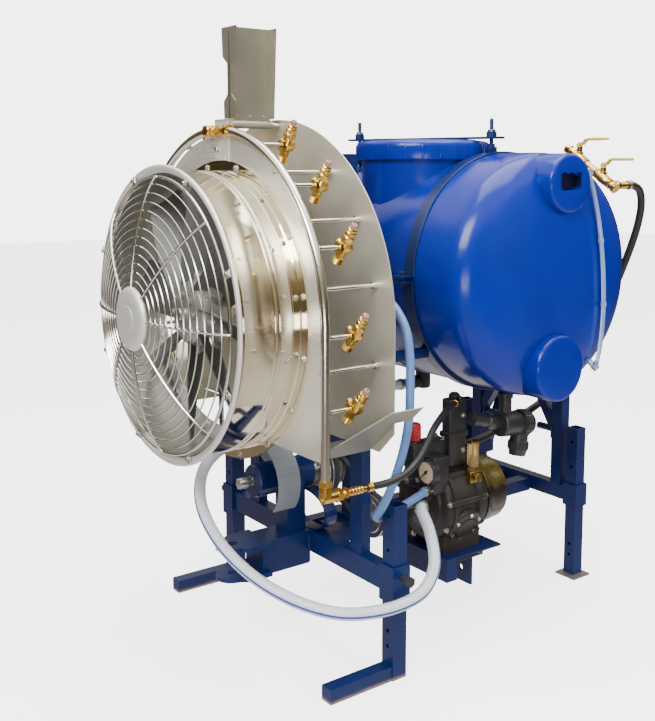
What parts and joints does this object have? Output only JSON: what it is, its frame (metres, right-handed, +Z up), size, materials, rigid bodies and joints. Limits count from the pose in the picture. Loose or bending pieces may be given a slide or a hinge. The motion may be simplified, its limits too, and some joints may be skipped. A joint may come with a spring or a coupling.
{
  "type": "tractor-mounted air-blast sprayer",
  "caption": "Tractor-mounted axial-fan air-blast sprayer with blue tank, nozzle arch, belt-driven pump and four-legged frame.",
  "frame": {"origin": "on the floor under the middle of the machine", "axes": "+Z up, -Y towards the fan's intake guard (the machine's rear), +Y towards the tractor, +X towards the pump"},
  "size_m": [1.093, 1.6459, 1.65],
  "materials": {
    "black_plastic": "satin",
    "black_rubber": "satin",
    "blue_hose": "satin",
    "brass": "satin",
    "brushed": "brushed",
    "cast_brown": "satin",
    "clear_hose": "gloss",
    "frame_blue": "semi-gloss",
    "guard_grey": "matte",
    "red": "gloss",
    "stainless": "polished",
    "tank_blue": "gloss",
    "yellow": "gloss",
    "zinc": "satin"
  },
  "bodies": {
    "sprayer": {"rear_frame": "frame_blue", "front_frame": "frame_blue", "chassis_rails": "frame_blue", "drawbar_clevis": "frame_blue", "hitch_mast": "frame_blue", "tank": "tank_blue", "strap_right": "frame_blue", "strap_left": "frame_blue", "tank_saddle_right": "frame_blue", "tank_saddle_left": "frame_blue", "level_tube": "clear_hose", "fan_drum": "stainless", "front_plate": "stainless", "rear_plate": "brushed", "top_bracket": "stainless", "fan_guard": "stainless", "manifold_right": "stainless", "manifold_left": "stainless", "shaft_bearing": "frame_blue", "shaft_guard": "guard_grey", "pump_body": "cast_brown", "pto_shield": "yellow", "suction_filter": "black_plastic", "valve_block": "brass", "fan_belt": "black_rubber", "pump_belt": "black_rubber", "suction_hose": "clear_hose", "return_hose": "blue_hose", "pressure_hose": "black_rubber", "feed_hose": "black_rubber"},
    "fan": {"fan_rotor": "zinc", "fan_shaft": "zinc"},
    "countershaft": {"drive_shaft": "zinc"},
    "pump_spindle": {"pump_shaft": "zinc"},
    "lid": {"tank_lid": "tank_blue"},
    "clamp": {"lid_clamp_bar": "frame_blue"},
    "knob": {"pressure_knob": "red"},
    "needle": {"gauge_needle": "black_plastic"},
    "lever_inner": {"valve_lever_inner": "yellow"},
    "lever_outer": {"valve_lever_outer": "yellow"},
    "flap_right": {"top_flap_right": "brushed"},
    "deflector_right": {"bottom_deflector_right": "brushed"},
    "rear_leg_body_right": {"rear_leg_right": "frame_blue"},
    "front_leg_body_right": {"front_leg_right": "frame_blue"},
    "leg_screw_body_right": {"leg_screw_right": "black_plastic"},
    "nozzle_right_body_1": {"nozzle_right_1": "brass"},
    "nozzle_right_body_2": {"nozzle_right_2": "brass"},
    "nozzle_right_body_3": {"nozzle_right_3": "brass"},
    "nozzle_right_body_4": {"nozzle_right_4": "brass"},
    "nozzle_right_body_5": {"nozzle_right_5": "brass"},
    "flap_left": {"top_flap_left": "brushed"},
    "deflector_left": {"bottom_deflector_left": "brushed"},
    "rear_leg_body_left": {"rear_leg_left": "frame_blue"},
    "front_leg_body_left": {"front_leg_left": "frame_blue"},
    "leg_screw_body_left": {"leg_screw_left": "black_plastic"},
    "nozzle_left_body_1": {"nozzle_left_1": "brass"},
    "nozzle_left_body_2": {"nozzle_left_2": "brass"},
    "nozzle_left_body_3": {"nozzle_left_3": "brass"},
    "nozzle_left_body_4": {"nozzle_left_4": "brass"},
    "nozzle_left_body_5": {"nozzle_left_5": "brass"}
  },
  "joints": [
    {"name": "fan_spin", "type": "hinge", "parent": "sprayer", "child": "fan", "pos_m": [0, -0.575, 0.9225], "axis": [0, 1, 0], "continuous": true},
    {"name": "drive_spin", "type": "hinge", "parent": "sprayer", "child": "countershaft", "pos_m": [0, -0.3, 0.444], "axis": [0, 1, 0], "continuous": true},
    {"name": "pump_spin", "type": "hinge", "parent": "sprayer", "child": "pump_spindle", "pos_m": [0.2, 0.05, 0.352], "axis": [0, 1, 0], "continuous": true},
    {"name": "lid_lift", "type": "slide", "parent": "sprayer", "child": "lid", "axis": [0, 0, 1], "range_m": [0, 0.05]},
    {"name": "clamp_lift", "type": "slide", "parent": "sprayer", "child": "clamp", "axis": [0, 0, 1], "range_m": [0, 0.05]},
    {"name": "pressure_set", "type": "hinge", "parent": "sprayer", "child": "knob", "pos_m": [0.222, -0.035, 0.54], "axis": [0, 0, 1], "range_deg": [0, 340]},
    {"name": "needle_sweep", "type": "hinge", "parent": "sprayer", "child": "needle", "pos_m": [0.27, -0.0355, 0.463], "axis": [0, 1, 0], "range_deg": [0, 270], "stiffness_Nm_per_rad": 0.002},
    {"name": "lever_inner_turn", "type": "hinge", "parent": "sprayer", "child": "lever_inner", "pos_m": [0.168, 0.69, 1.355], "axis": [0, 0, 1], "range_deg": [0, 90]},
    {"name": "lever_outer_turn", "type": "hinge", "parent": "sprayer", "child": "lever_outer", "pos_m": [0.262, 0.69, 1.292], "axis": [0, 0, 1], "range_deg": [0, 90]},
    {"name": "flap_right_hinge", "type": "hinge", "parent": "sprayer", "child": "flap_right", "pos_m": [0.0125, -0.422, 1.4025], "axis": [0, 1, 0], "range_deg": [0, 60]},
    {"name": "deflector_right_hinge", "type": "hinge", "parent": "sprayer", "child": "deflector_right", "pos_m": [0.405, -0.42, 0.6125], "axis": [0, 1, 0], "range_deg": [0, 20]},
    {"name": "rear_leg_right_slide", "type": "slide", "parent": "sprayer", "child": "rear_leg_body_right", "axis": [0, 0, 1], "range_m": [0, 0.15]},
    {"name": "front_leg_right_slide", "type": "slide", "parent": "sprayer", "child": "front_leg_body_right", "axis": [0, 0, 1], "range_m": [0, 0.12]},
    {"name": "leg_screw_right_turn", "type": "hinge", "parent": "sprayer", "child": "leg_screw_body_right", "pos_m": [0.4203, -0.247, 0.27], "axis": [1, 0, 0], "range_deg": [0, 350]},
    {"name": "nozzle_right_1_roll", "type": "hinge", "parent": "sprayer", "child": "nozzle_right_body_1", "pos_m": [0.18913, -0.4517, 1.3473], "axis": [0, 1, 0], "range_deg": [-90, 90]},
    {"name": "nozzle_right_2_roll", "type": "hinge", "parent": "sprayer", "child": "nozzle_right_body_2", "pos_m": [0.32881, -0.4517, 1.2513], "axis": [0, 1, 0], "range_deg": [-90, 90]},
    {"name": "nozzle_right_3_roll", "type": "hinge", "parent": "sprayer", "child": "nozzle_right_body_3", "pos_m": [0.4248, -0.4517, 1.11163], "axis": [0, 1, 0], "range_deg": [-90, 90]},
    {"name": "nozzle_right_4_roll", "type": "hinge", "parent": "sprayer", "child": "nozzle_right_body_4", "pos_m": [0.465, -0.4517, 0.912], "axis": [0, 1, 0], "range_deg": [-90, 90]},
    {"name": "nozzle_right_5_roll", "type": "hinge", "parent": "sprayer", "child": "nozzle_right_body_5", "pos_m": [0.465, -0.4517, 0.742], "axis": [0, 1, 0], "range_deg": [-90, 45]},
    {"name": "flap_left_hinge", "type": "hinge", "parent": "sprayer", "child": "flap_left", "pos_m": [-0.0125, -0.422, 1.4025], "axis": [0, 1, 0], "range_deg": [-60, 0]},
    {"name": "deflector_left_hinge", "type": "hinge", "parent": "sprayer", "child": "deflector_left", "pos_m": [-0.405, -0.42, 0.6125], "axis": [0, 1, 0], "range_deg": [-20, 0]},
    {"name": "rear_leg_left_slide", "type": "slide", "parent": "sprayer", "child": "rear_leg_body_left", "axis": [0, 0, 1], "range_m": [0, 0.15]},
    {"name": "front_leg_left_slide", "type": "slide", "parent": "sprayer", "child": "front_leg_body_left", "axis": [0, 0, 1], "range_m": [0, 0.12]},
    {"name": "leg_screw_left_turn", "type": "hinge", "parent": "sprayer", "child": "leg_screw_body_left", "pos_m": [-0.4203, -0.247, 0.27], "axis": [1, 0, 0], "range_deg": [0, 350]},
    {"name": "nozzle_left_1_roll", "type": "hinge", "parent": "sprayer", "child": "nozzle_left_body_1", "pos_m": [-0.18913, -0.4517, 1.3473], "axis": [0, 1, 0], "range_deg": [-90, 90]},
    {"name": "nozzle_left_2_roll", "type": "hinge", "parent": "sprayer", "child": "nozzle_left_body_2", "pos_m": [-0.32881, -0.4517, 1.2513], "axis": [0, 1, 0], "range_deg": [-90, 90]},
    {"name": "nozzle_left_3_roll", "type": "hinge", "parent": "sprayer", "child": "nozzle_left_body_3", "pos_m": [-0.4248, -0.4517, 1.11163], "axis": [0, 1, 0], "range_deg": [-90, 90]},
    {"name": "nozzle_left_4_roll", "type": "hinge", "parent": "sprayer", "child": "nozzle_left_body_4", "pos_m": [-0.465, -0.4517, 0.912], "axis": [0, 1, 0], "range_deg": [-90, 90]},
    {"name": "nozzle_left_5_roll", "type": "hinge", "parent": "sprayer", "child": "nozzle_left_body_5", "pos_m": [-0.465, -0.4517, 0.742], "axis": [0, 1, 0], "range_deg": [-45, 90]}
  ],
  "couplings": [
    {"joint": "drive_spin", "follows": "fan_spin", "ratio": 0.641},
    {"joint": "pump_spin", "follows": "fan_spin", "ratio": 0.641},
    {"joint": "lid_lift", "follows": "clamp_lift", "ratio": 1}
  ]
}
